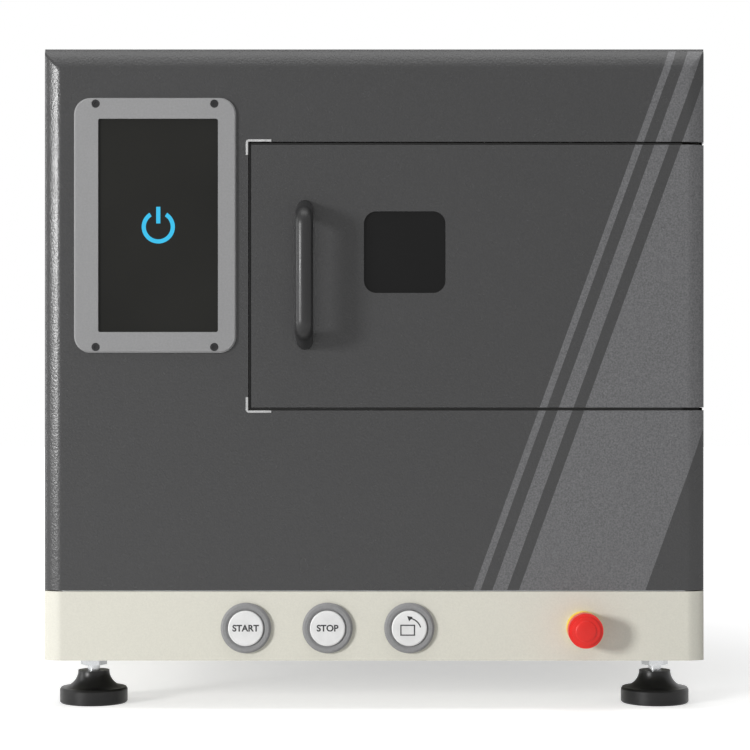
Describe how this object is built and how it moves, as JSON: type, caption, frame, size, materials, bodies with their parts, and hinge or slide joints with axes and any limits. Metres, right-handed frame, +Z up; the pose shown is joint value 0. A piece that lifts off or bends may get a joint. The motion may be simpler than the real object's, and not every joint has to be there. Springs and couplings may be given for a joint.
{
  "type": "electric gold melting furnace",
  "caption": "Benchtop induction furnace that melts gold in a crucible behind a wrap-round door and tilts it into an ingot mould.",
  "frame": {"origin": "on the floor, under the middle of the whole outline", "axes": "+X to the right seen from the front, +Y to the back, +Z up"},
  "size_m": [0.4894, 0.505, 0.48],
  "materials": {
    "dark_coat": "fine textured powder coat",
    "cover_coat": "fine textured powder coat",
    "cream_coat": "fine textured powder coat",
    "zinc_steel": "zinc plated",
    "black_steel": "black oxide",
    "bright_trim": "satin",
    "stainless": "brushed, heat tinted",
    "ceramic_fibre": "soft fibre",
    "rope_seal": "braided glass rope",
    "bezel_grey": "satin",
    "screen_glass": "gloss",
    "heat_sink": "anodised",
    "black_plastic": "satin",
    "yellow_plastic": "gloss",
    "red_plastic": "gloss",
    "white_plastic": "satin",
    "turned_steel": "turned",
    "bronze": "turned",
    "motor_grey": "satin",
    "window_glass": "dark tinted",
    "window_black": "matt heat-proof paint",
    "handle_black": "satin",
    "ceramic_board": "fired ceramic",
    "copper": "drawn copper tube",
    "graphite": "machined graphite",
    "pad_rubber": "moulded nylon and rubber",
    "plated_steel": "zinc plated"
  },
  "bodies": {
    "cabinet": {"base_pan": "cream_coat", "chassis_plate": "zinc_steel", "front_shell": "dark_coat", "side_cover": "cover_coat", "rear_panel": "cover_coat", "panel_screws": "black_steel", "corner_trims": "bright_trim", "jamb_frame": "stainless", "chamber_liner": "stainless", "chamber_insulation": "ceramic_fibre", "chamber_stand": "zinc_steel", "display_bezel": "bezel_grey", "display_glass": "screen_glass", "display_module": "zinc_steel", "power_supply": "zinc_steel", "coil_generator": "heat_sink", "fan_frame": "black_plastic", "power_inlet": "black_plastic", "button_rings": "bezel_grey", "switch_bodies": "black_plastic", "estop_collar": "yellow_plastic", "bearing_housing": "turned_steel", "shaft_bush": "bronze", "drive_motor": "motor_grey", "hinge_leaves_fixed": "black_steel", "hinge_pins": "turned_steel", "door_catch": "motor_grey"},
    "door": {"door_skin": "dark_coat", "door_insulation": "ceramic_fibre", "door_liner": "stainless", "window_glass": "window_glass", "window_frame": "window_black", "door_handle": "handle_black", "hinge_leaves_door": "black_steel", "door_seal": "rope_seal"},
    "carrier": {"tilt_shaft": "turned_steel", "carrier_plate": "stainless", "drive_gear": "turned_steel", "coil_frame": "ceramic_board", "ceramic_sleeve": "ceramic_board", "induction_coil": "copper", "mould_cradle": "stainless"},
    "ingot_mould": {"ingot_mould": "graphite"},
    "crucible": {"crucible": "graphite"},
    "drive_pinion": {"drive_pinion": "bronze"},
    "fan_rotor": {"fan_rotor": "black_plastic"},
    "switch_rocker": {"switch_rocker": "red_plastic"},
    "start_button": {"start_button": "white_plastic"},
    "stop_button": {"stop_button": "white_plastic"},
    "pour_button": {"pour_button": "white_plastic"},
    "estop_stem": {"estop_stem": "turned_steel"},
    "estop_head": {"estop_head": "red_plastic"},
    "foot_pad_fl": {"foot_pad_fl": "pad_rubber"},
    "foot_pad_fr": {"foot_pad_fr": "pad_rubber"},
    "foot_pad_rl": {"foot_pad_rl": "pad_rubber"},
    "foot_pad_rr": {"foot_pad_rr": "pad_rubber"},
    "foot_spindle_fl": {"foot_spindle_fl": "plated_steel"},
    "foot_spindle_fr": {"foot_spindle_fr": "plated_steel"},
    "foot_spindle_rl": {"foot_spindle_rl": "plated_steel"},
    "foot_spindle_rr": {"foot_spindle_rr": "plated_steel"}
  },
  "joints": [
    {"name": "door_hinge", "type": "hinge", "parent": "cabinet", "child": "door", "pos_m": [0.24025, -0.11095, 0.314], "axis": [0, 0, 1], "range_deg": [0, 110]},
    {"name": "carrier_tilt", "type": "hinge", "parent": "cabinet", "child": "carrier", "pos_m": [0.01725, -0.099, 0.2993], "axis": [0, 1, 0], "range_deg": [0, 90]},
    {"name": "pinion_turn", "type": "hinge", "parent": "cabinet", "child": "drive_pinion", "pos_m": [0.08125, 0.0221, 0.2993], "axis": [0, 1, 0], "range_deg": [-270, 0]},
    {"name": "crucible_lift", "type": "slide", "parent": "carrier", "child": "crucible", "axis": [0, 0, 1], "range_m": [0, 0.045]},
    {"name": "mould_slide", "type": "slide", "parent": "carrier", "child": "ingot_mould", "axis": [0, -1, 0], "range_m": [0, 0.045]},
    {"name": "fan_spin", "type": "hinge", "parent": "cabinet", "child": "fan_rotor", "pos_m": [-0.16975, 0.234, 0.346], "axis": [0, 1, 0], "continuous": true},
    {"name": "rocker_tilt", "type": "hinge", "parent": "cabinet", "child": "switch_rocker", "pos_m": [-0.15175, 0.245, 0.156], "axis": [1, 0, 0], "range_deg": [0, 24]},
    {"name": "start_push", "type": "slide", "parent": "cabinet", "child": "start_button", "axis": [0, 1, 0], "range_m": [0, 0.0025], "stiffness_N_per_m": 600, "springref_m": -0.002},
    {"name": "stop_push", "type": "slide", "parent": "cabinet", "child": "stop_button", "axis": [0, 1, 0], "range_m": [0, 0.0025], "stiffness_N_per_m": 600, "springref_m": -0.002},
    {"name": "pour_push", "type": "slide", "parent": "cabinet", "child": "pour_button", "axis": [0, 1, 0], "range_m": [0, 0.0025], "stiffness_N_per_m": 600, "springref_m": -0.002},
    {"name": "estop_push", "type": "slide", "parent": "cabinet", "child": "estop_stem", "axis": [0, 1, 0], "range_m": [0, 0.004]},
    {"name": "estop_twist", "type": "hinge", "parent": "estop_stem", "child": "estop_head", "pos_m": [0.14625, -0.23325, 0.0598], "axis": [0, 1, 0], "range_deg": [0, 45], "stiffness_Nm_per_rad": 0.05, "springref_deg": -11.46},
    {"name": "foot_extend_fl", "type": "slide", "parent": "cabinet", "child": "foot_pad_fl", "axis": [0, 0, -1], "range_m": [0, 0.015]},
    {"name": "foot_turn_fl", "type": "hinge", "parent": "foot_pad_fl", "child": "foot_spindle_fl", "pos_m": [-0.21275, -0.169, 0.03], "axis": [0, 0, -1], "range_deg": [0, 3660]},
    {"name": "foot_extend_fr", "type": "slide", "parent": "cabinet", "child": "foot_pad_fr", "axis": [0, 0, -1], "range_m": [0, 0.015]},
    {"name": "foot_turn_fr", "type": "hinge", "parent": "foot_pad_fr", "child": "foot_spindle_fr", "pos_m": [0.20325, -0.169, 0.03], "axis": [0, 0, -1], "range_deg": [0, 3660]},
    {"name": "foot_extend_rl", "type": "slide", "parent": "cabinet", "child": "foot_pad_rl", "axis": [0, 0, -1], "range_m": [0, 0.015]},
    {"name": "foot_turn_rl", "type": "hinge", "parent": "foot_pad_rl", "child": "foot_spindle_rl", "pos_m": [-0.21275, 0.201, 0.03], "axis": [0, 0, -1], "range_deg": [0, 3660]},
    {"name": "foot_extend_rr", "type": "slide", "parent": "cabinet", "child": "foot_pad_rr", "axis": [0, 0, -1], "range_m": [0, 0.015]},
    {"name": "foot_turn_rr", "type": "hinge", "parent": "foot_pad_rr", "child": "foot_spindle_rr", "pos_m": [0.20325, 0.201, 0.03], "axis": [0, 0, -1], "range_deg": [0, 3660]}
  ],
  "couplings": [
    {"joint": "pinion_turn", "follows": "carrier_tilt", "ratio": -3},
    {"joint": "foot_turn_fl", "follows": "foot_extend_fl", "rad_per_m": 4188.8},
    {"joint": "foot_turn_fr", "follows": "foot_extend_fr", "rad_per_m": 4188.8},
    {"joint": "foot_turn_rl", "follows": "foot_extend_rl", "rad_per_m": 4188.8},
    {"joint": "foot_turn_rr", "follows": "foot_extend_rr", "rad_per_m": 4188.8}
  ]
}
